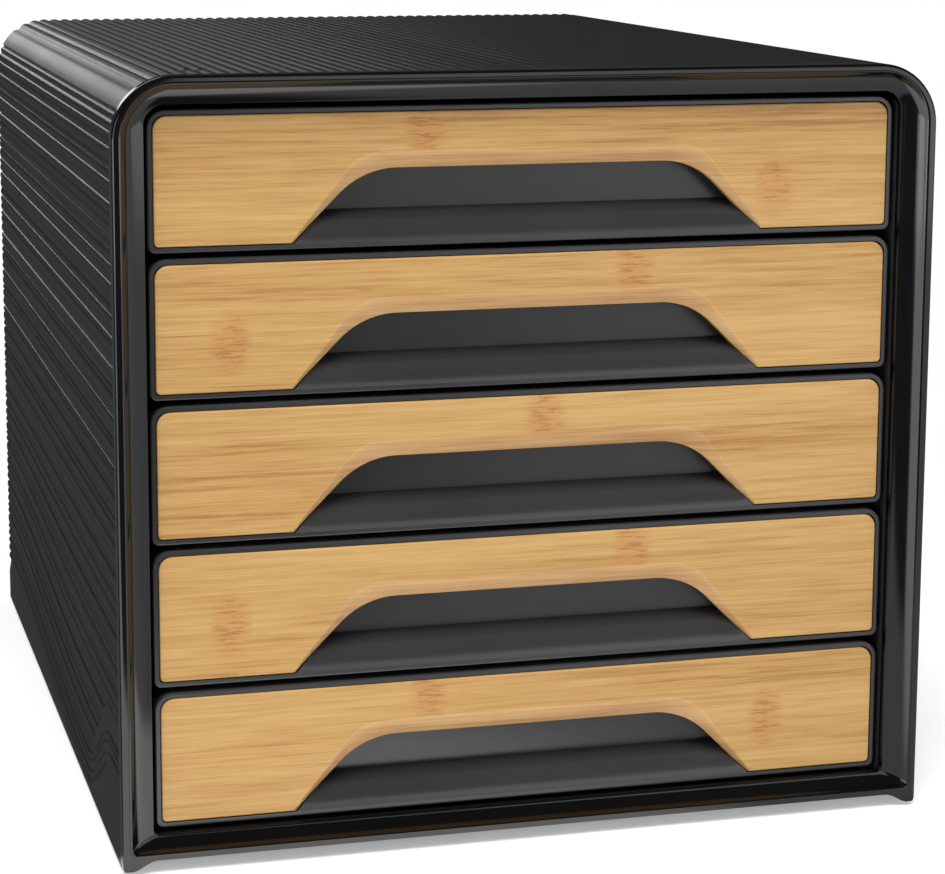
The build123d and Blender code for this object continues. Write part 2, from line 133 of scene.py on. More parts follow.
def close_seams(piece):
    """Merges touching vertices and turns every face outwards."""
    active_edit(piece)
    bpy.ops.mesh.remove_doubles(threshold=SEAM_GAP)
    bpy.ops.mesh.normals_make_consistent(inside=False)
    bpy.ops.object.mode_set(mode="OBJECT")


def smooth(piece, angle):
    """Shades a piece smooth where its faces turn by less than angle, in degrees."""
    select_only(piece)
    bpy.ops.object.shade_smooth_by_angle(angle=radians(angle))


def apply_modifiers(piece):
    select_only(piece)
    for modifier in list(piece.modifiers):
        bpy.ops.object.modifier_apply(modifier=modifier.name)


def sheet_of_points(name, rows, columns, place):
    """A grid of rows by columns, each vertex put where place(row, column) says."""
    deselect()
    bpy.ops.mesh.primitive_grid_add(x_subdivisions=rows - 1, y_subdivisions=columns - 1, size=2)
    piece = bpy.context.object
    piece.name = name
    piece.data.name = name
    for vertex in piece.data.vertices:
        row = round((vertex.co.x + 1) / 2 * (rows - 1))
        column = round((vertex.co.y + 1) / 2 * (columns - 1))
        vertex.co = place(row, column)
    return piece


def ease(value):
    """0 below 0, 1 above 1, and a smooth step between."""
    value = min(max(value, 0.0), 1.0)
    return value * value * (3 - 2 * value)


# ---- Sleeve ----

SIDE_RUN = TOP_Z - LOW_Z - CORNER
BEND_RUN = CORNER * pi / 2
HALF_RUN = SIDE_RUN + BEND_RUN + HALF_WIDTH - CORNER
# Section of a rib: share of its pitch, and relief from 0 on the crest to 1 in the groove
RIB_SHAPE = ((0.0, 1.0), (0.16, 0.45), (0.36, 0.06), (0.6, 0.0), (0.86, 0.4))
FRONT_STEP = 3 * MM
FRONT_STATIONS = 31  # stations along Y, FRONT_STEP apart, where the wave is
REAR_STATIONS = 9  # and behind it


def skin_point(run, inset):
    """x and z of the right half of the section, run metres up from its lower edge."""
    centre_x = HALF_WIDTH - CORNER
    if run <= SIDE_RUN:
        return HALF_WIDTH - inset, LOW_Z + run
    if run >= SIDE_RUN + BEND_RUN:
        return centre_x - (run - SIDE_RUN - BEND_RUN), TOP_Z - inset
    turn = (run - SIDE_RUN) / CORNER
    reach = CORNER - inset
    return centre_x + reach * cos(turn), TOP_Z - CORNER + reach * sin(turn)


def rib_rows():
    """Run and relief of every line along the right half, relief 0 on a crest and 1 in a groove."""
    rows = [(0.0, 0.0), (SIDE_PLAIN * 0.35, 0.0), (SIDE_PLAIN * 0.7, 0.0)]
    run = SIDE_PLAIN
    land_low = SIDE_RUN + CORNER * LAND_START
    land_high = SIDE_RUN + CORNER * LAND_END
    count = 0
    while run < land_low - LAND_MARGIN:
        pitch = SIDE_PITCHES[count % len(SIDE_PITCHES)]
        depth = max(RIB_MEAN + RIB_SWING * sin(count * RIB_BEAT), RIB_LEAST)
        if count < WAVE_RIBS:
            depth = 1.0
        rows += [(run + share * pitch, relief * depth) for share, relief in RIB_SHAPE]
        run += pitch
        count += 1
    rows.append((run, 1.0))
    start = max(run + LAND_GAP, land_low)
    rows += [(start + (land_high - start) * i / LAND_STEPS, 0.0) for i in range(LAND_STEPS + 1)]
    roof_ribs = int((HALF_RUN - land_high - LAND_GAP) / ROOF_PITCH - 0.5)
    for i in range(roof_ribs, 0, -1):
        base = HALF_RUN - (i + 0.5) * ROOF_PITCH
        rows += [(base + share * ROOF_PITCH, relief) for share, relief in RIB_SHAPE]
    last = HALF_RUN - ROOF_PITCH / 2
    rows += [(last + share * ROOF_PITCH, relief) for share, relief in RIB_SHAPE[:3]]
    rows.append((HALF_RUN, 0.0))
    return rows


def sink(height, y):
    """How far a rib of this height at the rear has sunk at depth y."""
    share = ease((DIVE_START_Y - y) / (DIVE_START_Y - TROUGH_Y))
    reach = 1 - ease((height - DIVE_LOW) / (DIVE_HIGH - DIVE_LOW))
    above_edge = min((height - LOW_Z) / SIDE_PLAIN, 1)
    return DIVE * share * reach * above_edge


def wave(height, y):
    """Height and relief of a side rib at depth y, once the wave near the front is added."""
    height -= sink(height, y)
    share = ease((TROUGH_Y - y) / (TROUGH_Y - CREST_Y))
    edge = WAVE_BASE + share * (WAVE_TOP - WAVE_BASE)
    if height >= edge or share == 0:
        return height, 1.0
    if height > WAVE_BASE:
        squeeze = 1 - WAVE_LIFT / (WAVE_TOP - WAVE_BASE)
        lifted = WAVE_BASE + share * WAVE_LIFT + (height - WAVE_BASE) * squeeze
        return lifted, 1 - ease((edge - height) / WAVE_FADE)
    hold = ease((height - LOW_Z) / WAVE_FOOT)
    return height + share * WAVE_LIFT * hold, 1.0


def slot_relief(x, y):
    """Extra depth of the roof at a point, for the shallow slot near each front corner."""
    along = abs(abs(x) - SLOT_X) / SLOT_HALF
    across = abs(y - SLOT_Y) / SLOT_HALF_DEEP
    return SLOT_DEPTH * ease(1.6 - 1.2 * along) * ease(1.6 - 1.2 * across)


def sleeve():
    """The ribbed sleeve, as one grid bent over both sides and the roof, then given a wall."""
    half = rib_rows()
    rows = [(run, relief, -1) for run, relief in half]
    rows += [(run, relief, 1) for run, relief in half[-2::-1]]
    depths = [SLEEVE_Y + i * FRONT_STEP for i in range(FRONT_STATIONS)]
    rest = BACK_Y - depths[-1]
    depths += [BACK_Y - rest * (1 - i / REAR_STATIONS) for i in range(1, REAR_STATIONS + 1)]

    def place(row, column):
        run, relief, side = rows[row]
        y = depths[column]
        if 0 < run < SIDE_RUN:
            height, strength = wave(LOW_Z + run, y)
            run = min(height - LOW_Z, SIDE_RUN)
            relief *= strength
        x, z = skin_point(run, RIB_DEPTH * relief)
        if z > TOP_Z - ROOF_ZONE:
            z -= slot_relief(x, y)
        return Vector((side * x, y, z))

    piece = sheet_of_points("ribbed_sleeve", len(rows), len(depths), place)
    close_seams(piece)
    wall = piece.modifiers.new("wall", "SOLIDIFY")
    wall.thickness = SKIN
    wall.offset = -1
    apply_modifiers(piece)
    smooth(piece, 50)
    return piece


# ---- Front frame ----

RAIL_SIDE = 11.1 * MM  # width of the ring at the sides, at the top and at the bottom
RAIL_TOP = 9.65 * MM
RAIL_LOW = 10.5 * MM
ARCH_RISE = 3.3 * MM  # height of the arch between the legs
ARCH_MARGIN = 0.4 * MM
OUTER_SHARE = 0.2  # part of the ring's width in which its corners keep their centre
LIP_RADIUS_TOP = 7 * MM
LIP_RADIUS_LOW = 2 * MM
LEG_WIDTH = 3.5 * MM
LEG_SLOPE = 8 * MM
LEG_EASE = 0.4 * MM
COVE_START = 3.2 * MM  # where the hollow face begins, in from the outer edge
COVE_END = 0.4 * MM  # how far before the inner edge it ends
COVE_LIP = 0.25 * MM  # its depth where it begins
COVE_DEPTH = 4.7 * MM  # and where it ends
COVE_STEEP = radians(50)
COVE_SHALLOW = radians(8)
COVE_STEPS = 14
RIM_FLAT = 2.4 * MM
FILLET_RADIUS = 1.1 * MM
BAND = SLEEVE_Y - FRONT_Y
BAND_WALL = 2.8 * MM
PLATE = 8 * MM

# Rounded outer edge and bead of the ring: distance in from the outer edge, and depth behind the rim
FILLET_TURNS = [i * pi / 8 for i in range(5)]
FILLET = [(FILLET_RADIUS * (1 - cos(t)), FILLET_RADIUS * (1 - sin(t))) for t in FILLET_TURNS]
BEAD = [(inward * MM, depth * MM) for inward, depth in ((2.3, 0.0), (2.4, 0.12), (2.6, 0.0), (3.0, 0.1))]


def ring_section():
    """(distance in from the outer edge, depth behind the rim) round the ring's section."""
    points = [(0.0, BAND), (0.0, 3 * MM)] + FILLET + BEAD
    for step in range(COVE_STEPS + 1):
        turn = COVE_STEEP + (COVE_SHALLOW - COVE_STEEP) * step / COVE_STEPS
        across = (sin(COVE_STEEP) - sin(turn)) / (sin(COVE_STEEP) - sin(COVE_SHALLOW))
        sunk = (cos(turn) - cos(COVE_STEEP)) / (cos(COVE_SHALLOW) - cos(COVE_STEEP))
        inward = COVE_START + across * (RAIL_SIDE - COVE_START - COVE_END)
        points.append((inward, COVE_LIP + sunk * (COVE_DEPTH - COVE_LIP)))
    points += [(RAIL_SIDE - 0.15 * MM, COVE_DEPTH + 0.1 * MM), (RAIL_SIDE, COVE_DEPTH + 0.4 * MM)]
    points += [(RAIL_SIDE, PLATE), (BAND_WALL, PLATE), (BAND_WALL, BAND)]
    return points


def arc_points(centre, radius, start, end, count):
    """Points along an arc in the front view, both ends included."""
    turns = [start + (end - start) * i / (count - 1) for i in range(count)]
    return [(centre[0] + radius * cos(t), centre[1] + radius * sin(t)) for t in turns]


def leg_points(inward):
    """The right leg's outline, round under it and up to the arch: the real leg on the flat rim, and a
    rounded corner further in."""
    half = HALF_WIDTH - inward
    if inward < RIM_FLAT:
        inner = HALF_WIDTH - LEG_WIDTH
        leg = [(half, LOW_Z + height * MM) for height in (12, 6, 1)]
        leg += [(half - LEG_EASE, LOW_Z), (inner, LOW_Z)]
        for share in (0.2, 0.4, 0.6, 0.8, 1.0):
            leg.append((inner - share * LEG_SLOPE, LOW_Z + ARCH_RISE * ease(share) ** 0.8))
        return leg
    rim_low = ARCH_RISE + ARCH_MARGIN
    low = LOW_Z + rim_low + inward / RAIL_SIDE * (RAIL_LOW - rim_low)
    corner = [(half, low + 6 * MM)]
    corner += arc_points((half - LIP_RADIUS_LOW, low + LIP_RADIUS_LOW), LIP_RADIUS_LOW, 0, -pi / 2, 8)
    return corner + [(half - 8 * MM, low)]


def ring_loop(inward):
    """Outline of the ring at a distance in from its outer edge, anticlockwise from the right leg."""
    reach = inward / RAIL_SIDE
    half = HALF_WIDTH - inward
    top = TOP_Z - reach * RAIL_TOP
    narrowing = max(reach - OUTER_SHARE, 0) / (1 - OUTER_SHARE)
    radius = CORNER + (LIP_RADIUS_TOP - CORNER) * narrowing - min(inward, OUTER_SHARE * RAIL_SIDE)
    radius = max(radius, LIP_RADIUS_TOP)
    right = leg_points(inward)[::-1]
    side_low = right[-1][1]
    side_top = top - radius
    right += [(half, side_low + (side_top - side_low) * i / 8) for i in range(1, 8)]
    right += arc_points((half - radius, top - radius), radius, 0, pi / 2, 17)
    right += [((half - radius) * (1 - i / 4), top) for i in range(1, 4)]
    left = [(-x, z) for x, z in right[::-1]]
    arch_x, arch_z = right[0]
    bottom = [(-arch_x + 2 * arch_x * i / 6, arch_z) for i in range(1, 6)]
    return right + [(0.0, top)] + left + bottom


def front_ring():
    """The polished frame, as one grid swept round the ring."""
    section = ring_section()
    loops = [ring_loop(inward) for inward, _ in section]
    count = len(loops[0])

    def place(row, column):
        station = column % len(section)
        x, z = loops[station][row % count]
        return Vector((x, FRONT_Y + section[station][1], z))

    piece = sheet_of_points("polished_front_frame", count + 1, len(section) + 1, place)
    close_seams(piece)
    smooth(piece, 32)
    return piece


# ---- Bamboo fronts ----

BAMBOO_RADIUS_TOP = 4.6 * MM
BAMBOO_RADIUS_LOW = 1.5 * MM
EASE = 0.5 * MM  # rounding of the edge
GRIP_HALF = 82 * MM  # finger cut-out: half its width at the foot, height, slope and bend
GRIP_HEIGHT = 24 * MM
GRIP_SLOPE = radians(45)
GRIP_BEND = 28 * MM
TOE_RADIUS = 2 * MM  # foot of the cut-out
TOE_FACE = 2.2 * MM
TOE_LIFT = 1.5 * MM
TOE_MARGIN = 1 * MM
TOE_STRAIGHT = 6 * MM
SCOOP_WIDTH = 5.7 * MM  # bevel of the cut-out: width at the middle and at the foot
SCOOP_END = 1.7 * MM
SCOOP_SLOPE = radians(51)
SCOOP_BEND = 16 * MM
SCOOP_DEPTH = 2.4 * MM
BACK_LAND = 0.4 * MM  # last strip of the edge before the back
EDGE_STEPS = 8
LEVEL_STEPS = 6
KNOT_HALF_WIDTH = 6.5 * MM
KNOT_HALF_HEIGHT = 10 * MM
KNOT_GLOW = (0.50, 0.225, 0.06)
KNOT_DARK = (0.29, 0.105, 0.025)
KNOT_FADE = (1.35, 0.45)  # a knot fades from none to full between these shares of its half size
WOOD_TONES = ((0.355, 0.165, 0.042), (0.49, 0.275, 0.086), (0.57, 0.35, 0.125))
# Tones of the cut-out's bevel: the cut bamboo's own tone, made paler than the face as painted reflection
# of the pale floor in this downward-facing bevel
CUT_AND_PAINTED_REFLECTION_TONES = ((0.46, 0.225, 0.075), (0.57, 0.32, 0.125), (0.66, 0.41, 0.175))

# Places of the knots on each front: distance right of the middle and height above its lower edge
KNOTS = {
    1: ((-37.5, 38.1), (87.1, 14.8)),
    2: ((-103.7, 15.8), (36.7, 36.5)),
    3: ((5.1, 35.8),),
    4: ((-104.6, 18.3), (37.1, 35.9)),
    5: ((-35.3, 39.2), (88.1, 19.4)),
}


def cut_line(half, height, slope, bend):
    """Right half of a finger cut-out, from its lower end up the slope and round to the middle."""
    shoulder = half - height / sin(slope) * cos(slope)
    tangent = bend * sin(slope / 2) / cos(slope / 2)
    low = (half, 0.0)
    high = (shoulder + tangent * cos(slope), height - tangent * sin(slope))
    points = [(low[0] + (high[0] - low[0]) * i / 6, high[1] * i / 6) for i in range(6)]
    points += arc_points((shoulder - tangent, height - bend), bend, pi / 2 - slope, pi / 2, 15)
    start = shoulder - tangent
    return points + [(start * (1 - i / LEVEL_STEPS), height) for i in range(1, LEVEL_STEPS + 1)]


def front_edge(half, height):
    """Right half of a bamboo front's edge, from the middle of the top round to the middle of the
    cut-out: (outline point, point where the flat face begins, depth between the two)."""
    edge = [((x, height), (x, height - EASE)) for x in (0.0, half * 0.5)]
    for radius, low in ((BAMBOO_RADIUS_TOP, False), (BAMBOO_RADIUS_LOW, True)):
        centre = (half - radius, radius if low else height - radius)
        turns = (0, -pi / 2) if low else (pi / 2, 0)
        outer = arc_points(centre, radius, *turns, 9)
        inner = arc_points(centre, radius - EASE, *turns, 9)
        edge += list(zip(outer, inner))
    toe_reach = TOE_RADIUS * sin(GRIP_SLOPE / 2) / cos(GRIP_SLOPE / 2)
    toe_end = GRIP_HALF + toe_reach
    edge.append(((toe_end + TOE_STRAIGHT, 0.0), (toe_end + TOE_STRAIGHT, EASE)))
    points = [(outline, face, EASE) for outline, face in edge]
    toe = arc_points((toe_end, TOE_RADIUS), TOE_RADIUS, -pi / 2, -pi / 2 - GRIP_SLOPE, 6)
    wide = cut_line(GRIP_HALF + SCOOP_END, GRIP_HEIGHT + SCOOP_WIDTH, SCOOP_SLOPE, SCOOP_BEND)
    cut = cut_line(GRIP_HALF, GRIP_HEIGHT, GRIP_SLOPE, GRIP_BEND)
    face_start = toe_end + TOE_FACE
    face_end = wide[1][0] + TOE_MARGIN
    for i, outline in enumerate(toe):
        share = i / (len(toe) - 1)
        face = (face_start + share * (face_end - face_start), EASE + share * TOE_LIFT)
        points.append((outline, face, EASE + share * (SCOOP_DEPTH - EASE) / 2))
    for i in range(1, len(cut)):
        depth = SCOOP_DEPTH if i > 2 else SCOOP_DEPTH * (0.5 + 0.25 * i)
        points.append((cut[i], wide[i], depth))
    return points


def bamboo_front(number, wood, cut_wood_painted_reflection):
    """One bamboo front with its eased edges, bevelled finger cut-out and rounded toes. Its bevel takes
    the second material, which is paler than the face as painted reflection.
    """
    low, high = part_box(f"bamboo_front_{number}")
    right = front_edge(high.x, high.z - low.z)
    left = [((-ox, oz), (-fx, fz), depth) for (ox, oz), (fx, fz), depth in right[-2:0:-1]]
    edge = right + left
    thickness = high.y - low.y
    stations = EDGE_STEPS + 3

    def place(row, column):
        (ox, oz), (fx, fz), depth = edge[row % len(edge)]
        if column == 0:
            length = sqrt((fx - ox) ** 2 + (fz - oz) ** 2)
            share = -0.2 * MM / length
            inward = 0.0
        elif column <= EDGE_STEPS:
            share = (column - 1) / (EDGE_STEPS - 1)
            inward = share**1.5 if depth > 2 * EASE else 1 - cos(share * pi / 2)
            share = share if depth > 2 * EASE else sin(share * pi / 2)
        else:
            share = 1.0
            inward = 1.0
        y = low.y + inward * depth
        if column > EDGE_STEPS:
            y = low.y + thickness - (BACK_LAND if column == EDGE_STEPS + 1 else 0.0)
        x = fx + (ox - fx) * share
        z = fz + (oz - fz) * share
        return Vector((x, y, low.z + z))

    piece = sheet_of_points(f"bamboo_panel_{number}", len(edge) + 1, stations, place)
    close_seams(piece)
    active_edit(piece)
    bpy.ops.mesh.select_all(action="DESELECT")
    bpy.ops.mesh.select_mode(type="EDGE")
    bpy.ops.mesh.select_non_manifold()
    bpy.ops.mesh.edge_face_add()
    bpy.ops.mesh.select_all(action="SELECT")
    bpy.ops.mesh.normals_make_consistent(inside=False)
    bpy.ops.object.mode_set(mode="OBJECT")
    smooth(piece, 30)
    paint(piece, wood)
    # the bevel's wood is paler than the face: painted reflection of the pale floor
    piece.data.materials.append(cut_wood_painted_reflection)
    for face in piece.data.polygons:
        middle = face.center
        in_cut = abs(middle.x) < GRIP_HALF + 1 * MM and middle.z < low.z + GRIP_HEIGHT + SCOOP_WIDTH
        if in_cut and -0.9995 < face.normal.y < -0.05:
            face.material_index = 1
    return piece


# ---- Materials ----


def new_material(name):
    material = bpy.data.materials.new(name)
    material.use_nodes = True
    tree = material.node_tree
    return material, tree, tree.nodes["Principled BSDF"]


def add(tree, kind, **settings):
    node = tree.nodes.new(kind)
    for key, value in settings.items():
        if key in node.inputs:
            node.inputs[key].default_value = value
        else:
            setattr(node, key, value)
    return node


def object_points(tree, scale=(1, 1, 1)):
    """Object coordinates, stretched by scale."""
    where = add(tree, "ShaderNodeTexCoord")
    mapping = add(tree, "ShaderNodeMapping")
    mapping.inputs["Scale"].default_value = scale
    tree.links.new(where.outputs["Object"], mapping.inputs["Vector"])
    return mapping.outputs["Vector"]


def noise(tree, points, scale, detail=4.0, roughness=0.55):
    node = add(tree, "ShaderNodeTexNoise", Scale=scale, Detail=detail, Roughness=roughness)
    tree.links.new(points, node.inputs["Vector"])
    return node.outputs["Fac"]


def ramp(tree, value, stops):
    """A colour ramp with the given (position, colour) stops."""
    node = tree.nodes.new("ShaderNodeValToRGB")
    elements = node.color_ramp.elements
    while len(elements) < len(stops):
        elements.new(0.5)
    for element, (position, colour) in zip(elements, stops):
        element.position = position
        element.color = (*colour, 1)
    tree.links.new(value, node.inputs["Fac"])
    return node.outputs["Color"]


def remap(tree, value, ends, results=(0.0, 1.0), soft=False):
    """Takes value from between ends to between results, in a line or in a soft step."""
    node = tree.nodes.new("ShaderNodeMapRange")
    if soft:
        node.interpolation_type = "SMOOTHSTEP"
    for name, number in zip(("From Min", "From Max", "To Min", "To Max"), (*ends, *results)):
        node.inputs[name].default_value = number
    tree.links.new(value, node.inputs["Value"])
    return node.outputs["Result"]


def spread(tree, value, low, high):
    """Maps a value from 0..1 to low..high."""
    return remap(tree, value, (0.0, 1.0), (low, high))


def clamp(tree, value):
    node = add(tree, "ShaderNodeClamp")
    tree.links.new(value, node.inputs["Value"])
    return node.outputs["Result"]


def vector_length(tree, vector):
    node = add(tree, "ShaderNodeVectorMath", operation="LENGTH")
    tree.links.new(vector, node.inputs[0])
    return node.outputs["Value"]


def mix_shaders(tree, share, first, second):
    """The first shader where share is 0, and the second where it is 1."""
    node = add(tree, "ShaderNodeMixShader")
    for socket, source in zip(node.inputs, (share, first, second)):
        tree.links.new(source, socket)
    return node.outputs[0]


def bump(tree, shader, height, strength, distance):
    node = add(tree, "ShaderNodeBump", Strength=strength, Distance=distance)
    tree.links.new(height, node.inputs["Height"])
    tree.links.new(node.outputs["Normal"], shader.inputs["Normal"])


def moulded_plastic(name, dark, pale, rough_low, rough_high, grain):
    """Moulded plastic: slight mottling of colour, uneven gloss and a fine surface grain."""
    material, tree, shader = new_material(name)
    points = object_points(tree)
    cloud = noise(tree, points, 14.0)
    fine = noise(tree, points, 2600.0, 2.0)
    tree.links.new(ramp(tree, cloud, [(0.3, dark), (0.7, pale)]), shader.inputs["Base Color"])
    tree.links.new(spread(tree, cloud, rough_low, rough_high), shader.inputs["Roughness"])
    bump(tree, shader, fine, grain, 0.03 * MM)
    shader.inputs["IOR"].default_value = 1.5
    return material


def knot_mask(tree, where, x, z):
    """1 within a knot of the bamboo centred at x, z, falling to 0 round it."""
    centred = add(tree, "ShaderNodeVectorMath", operation="SUBTRACT")
    centred.inputs[1].default_value = (x, 0, z)
    tree.links.new(where, centred.inputs[0])
    scaled = add(tree, "ShaderNodeVectorMath", operation="MULTIPLY")
    scaled.inputs[1].default_value = (1 / KNOT_HALF_WIDTH, 0, 1 / KNOT_HALF_HEIGHT)
    tree.links.new(centred.outputs[0], scaled.inputs[0])
    return remap(tree, vector_length(tree, scaled.outputs[0]), KNOT_FADE, soft=True)


def combine(tree, operation, first, second):
    node = add(tree, "ShaderNodeMath", operation=operation)
    for socket, value in zip(node.inputs, (first, second)):
        if isinstance(value, (int, float)):
            socket.default_value = value
        else:
            tree.links.new(value, socket)
    return node.outputs[0]


def colour_socket(sockets, name):
    """The one of a Mix node's sockets that has this name and carries a colour."""
    return [socket for socket in sockets if socket.name == name and socket.type == "RGBA"][0]


def tint(tree, share, base, colour):
    """Mixes a fixed colour over base by share."""
    node = tree.nodes.new("ShaderNodeMix")
    node.data_type = "RGBA"
    tree.links.new(share, node.inputs["Factor"])
    tree.links.new(base, colour_socket(node.inputs, "A"))
    colour_socket(node.inputs, "B").default_value = (*colour, 1)
    return colour_socket(node.outputs, "Result")


def bamboo_wood(name, dark, middle, pale, knots):
    """Varnished bamboo: fine fibres along X, broad soft strips, and short dark dashes at the knots."""
    material, tree, shader = new_material(name)
    where = object_points(tree)
    fibre = noise(tree, object_points(tree, (55, 90, 2100)), 1.0, 4.0, 0.65)
    streak = noise(tree, object_points(tree, (17, 40, 640)), 1.0, 3.0, 0.6)
    strip = noise(tree, object_points(tree, (4, 20, 80)), 1.0, 2.0, 0.5)
    tone = combine(tree, "MULTIPLY", fibre, 0.34)
    tone = combine(tree, "ADD", tone, combine(tree, "MULTIPLY", streak, 0.36))
    tone = combine(tree, "ADD", tone, combine(tree, "MULTIPLY", strip, 0.30))
    colour = ramp(tree, tone, [(0.37, dark), (0.48, middle), (0.6, pale)])
    mask = None
    for x, z in knots:
        one = knot_mask(tree, where, x, z)
        mask = one if mask is None else combine(tree, "MAXIMUM", mask, one)
    if mask is not None:
        dash = noise(tree, object_points(tree, (150, 90, 1300)), 1.0, 3.0, 0.6)
        sharp = combine(tree, "MULTIPLY", combine(tree, "SUBTRACT", dash, 0.5), 11.0)
        sharp = clamp(tree, sharp)
        dark_share = combine(tree, "MULTIPLY", combine(tree, "MULTIPLY", mask, sharp), 0.6)
        colour = tint(tree, combine(tree, "MULTIPLY", mask, 0.5), colour, KNOT_GLOW)
        colour = tint(tree, dark_share, colour, KNOT_DARK)
    tree.links.new(colour, shader.inputs["Base Color"])
    tree.links.new(spread(tree, fibre, 0.42, 0.58), shader.inputs["Roughness"])
    shader.inputs["Coat Weight"].default_value = 0.12
    shader.inputs["Coat Roughness"].default_value = 0.3
    bump(tree, shader, fibre, 0.3, 0.04 * MM)
    return material


def zinc_steel():
    material, tree, shader = new_material("zinc_screw_steel")
    shader.inputs["Metallic"].default_value = 1
    scratch = noise(tree, object_points(tree), 900.0)
    colour = ramp(tree, scratch, [(0.3, (0.42, 0.43, 0.45)), (0.7, (0.6, 0.61, 0.63))])
    tree.links.new(colour, shader.inputs["Base Color"])
    tree.links.new(spread(tree, scratch, 0.25, 0.5), shader.inputs["Roughness"])
    return material


def paint(piece, material):
    piece.data.materials.clear()
    piece.data.materials.append(material)


# Word in the node's name, material, darkest and palest colour, and least and most roughness and grain
PLAIN_FINISHES = (
    ("tray", "satin_tray_plastic", (0.026, 0.026, 0.0275), (0.032, 0.032, 0.034), (0.22, 0.3, 0.1)),
    ("panel", "inner_panel_plastic", (0.02, 0.02, 0.021), (0.028, 0.028, 0.029), (0.45, 0.6, 0.3)),
    ("foot", "foot_rubber_finish", (0.012, 0.012, 0.012), (0.02, 0.02, 0.02), (0.75, 0.9, 0.6)),
    ("pads", "foam_tape_finish", (0.6, 0.6, 0.57), (0.75, 0.75, 0.72), (0.8, 0.95, 0.8)),
)


def dress_cad_nodes():
    """Gives every CAD node that stays its own procedural finish."""
    finishes = {}
    for word, name, dark, pale, surface in PLAIN_FINISHES:
        finishes[word] = moulded_plastic(name, dark, pale, *surface)
    finishes["drawer_front"] = finishes["tray"]
    finishes["screws"] = zinc_steel()
    for name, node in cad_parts.items():
        for word, material in finishes.items():
            if word in name:
                paint(node, material)


# ---- Stage, lights and camera ----


FILL_SOFT = 0.5  # soft light of the room on matt surfaces
FILL_MIRRORED = 0.05  # and how bright the same room looks in a gloss
FLOOR_LIFT = 0.28  # keeps the floor pale inside the object's shadow
FLOOR_DIM = 0.1  # brightness of the floor in a gloss
FLOOR_RIGHT = 0.8  # and of its part to the front right
FLOOR_LEFT = 2.4  # and of its part close to the front left
FLOOR_EDGE = 0.1  # width of the soft edge of both parts
WHITE_FROM = (0.2, 0.5)  # the floor turns plain white between these distances from the middle
TABLE_ENDS = (0.9, 1.6)  # and the table ends between these
TABLE_TONES = (0.6, 0.05)


def floor_side(tree, axes, slope, start):
    """1 on the floor where x + slope y is past start, and 0 elsewhere, with a soft edge."""
    along = combine(tree, "ADD", axes.outputs["X"], combine(tree, "MULTIPLY", axes.outputs["Y"], slope))
    return remap(tree, along, (start, start + FLOOR_EDGE), soft=True)


def floor_in_a_gloss(tree, where):
    """Brightness of the floor in the glossy frame: dim, with two lit parts in front."""
    axes = add(tree, "ShaderNodeSeparateXYZ")
    tree.links.new(where, axes.inputs[0])
    before = remap(tree, axes.outputs["Y"], (FRONT_Y + 0.02, FRONT_Y - 0.01))
    right = combine(tree, "MULTIPLY", floor_side(tree, axes, 0.45, -0.24), FLOOR_RIGHT)
    beyond = combine(tree, "SUBTRACT", 1.0, floor_side(tree, axes, -1.2, 0.28))
    left = combine(tree, "MULTIPLY", beyond, FLOOR_LEFT)
    lit = combine(tree, "MULTIPLY", combine(tree, "MAXIMUM", right, left), before)
    return combine(tree, "ADD", lit, FLOOR_DIM)


def floor_material():
    """Pale floor with the object's shadow near it and plain white further off. To other rays than the
    camera's it is a pale table round the object, in a dim studio."""
    material, tree, shader = new_material("pale_floor")
    shader.inputs["Base Color"].default_value = (0.86, 0.86, 0.86, 1)
    shader.inputs["Roughness"].default_value = 0.9
    shader.inputs["Specular IOR Level"].default_value = 0.0
    where = add(tree, "ShaderNodeTexCoord")
    distance = vector_length(tree, where.outputs["Object"])
    shader.inputs["Emission Color"].default_value = (1, 1, 1, 1)
    shader.inputs["Emission Strength"].default_value = FLOOR_LIFT
    white = add(tree, "ShaderNodeEmission", Strength=1.0)
    white.inputs["Color"].default_value = (1, 1, 1, 1)
    seen = mix_shaders(tree, remap(tree, distance, WHITE_FROM), shader.outputs[0], white.outputs[0])
    path = add(tree, "ShaderNodeLightPath")
    cloth = tree.nodes.new("ShaderNodeBsdfDiffuse")
    tree.links.new(remap(tree, distance, TABLE_ENDS, TABLE_TONES), cloth.inputs["Color"])
    mirrored = add(tree, "ShaderNodeEmission")
    tree.links.new(floor_in_a_gloss(tree, where.outputs["Object"]), mirrored.inputs["Strength"])
    unseen = mix_shaders(tree, path.outputs["Is Glossy Ray"], cloth.outputs[0], mirrored.outputs[0])
    whole = mix_shaders(tree, path.outputs["Is Camera Ray"], unseen, seen)
    tree.links.new(whole, tree.nodes["Material Output"].inputs["Surface"])
    return material


def stage():
    """The floor, and a room that is white to the camera and dim to everything else."""
    deselect()
    bpy.ops.mesh.primitive_circle_add(vertices=96, radius=12, fill_type="NGON", location=(0, 0, 0))
    floor = bpy.context.object
    floor.name = "floor"
    paint(floor, floor_material())
    world = bpy.data.worlds.new("studio")
    bpy.context.scene.world = world
    world.use_nodes = True
    tree = world.node_tree
    room = tree.nodes["Background"]
    room.inputs["Color"].default_value = (1, 1, 1, 1)
    seen = add(tree, "ShaderNodeBackground", Strength=1.0)
    seen.inputs["Color"].default_value = (1, 1, 1, 1)
    path = add(tree, "ShaderNodeLightPath")
    fill = combine(tree, "MULTIPLY", path.outputs["Is Diffuse Ray"], FILL_SOFT - FILL_MIRRORED)
    tree.links.new(combine(tree, "ADD", fill, FILL_MIRRORED), room.inputs["Strength"])
    whole = mix_shaders(tree, path.outputs["Is Camera Ray"], room.outputs[0], seen.outputs[0])
    tree.links.new(whole, tree.nodes["World Output"].inputs["Surface"])


